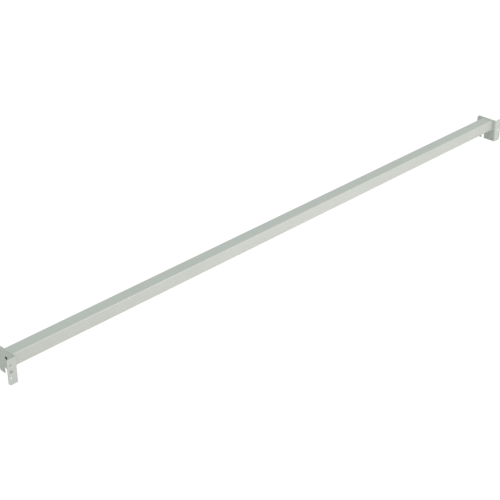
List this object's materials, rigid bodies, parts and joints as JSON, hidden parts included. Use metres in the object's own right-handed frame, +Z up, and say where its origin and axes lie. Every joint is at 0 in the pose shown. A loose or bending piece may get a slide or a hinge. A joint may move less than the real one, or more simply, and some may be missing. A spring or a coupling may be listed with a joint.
{
  "type": "shelving beam",
  "caption": "Long square steel tube with a folded bracket welded across each end: plate with bolt hole and open slot, and a drilled flange that fits the front of a shelf upright.",
  "frame": {"origin": "centre of the footprint, on the plane of the brackets' lower edges", "axes": "+X along the beam, +Y from the flanges' front towards the back of the plates, +Z up"},
  "size_m": [2.772, 0.103, 0.102],
  "materials": {
    "powder_coat": "light grey powder coat, fine orange peel, satin"
  },
  "bodies": {
    "root": {"beam_tube": "powder_coat", "left_end_bracket": "powder_coat", "right_end_bracket": "powder_coat", "left_weld_bead": "powder_coat", "right_weld_bead": "powder_coat"}
  },
  "joints": []
}
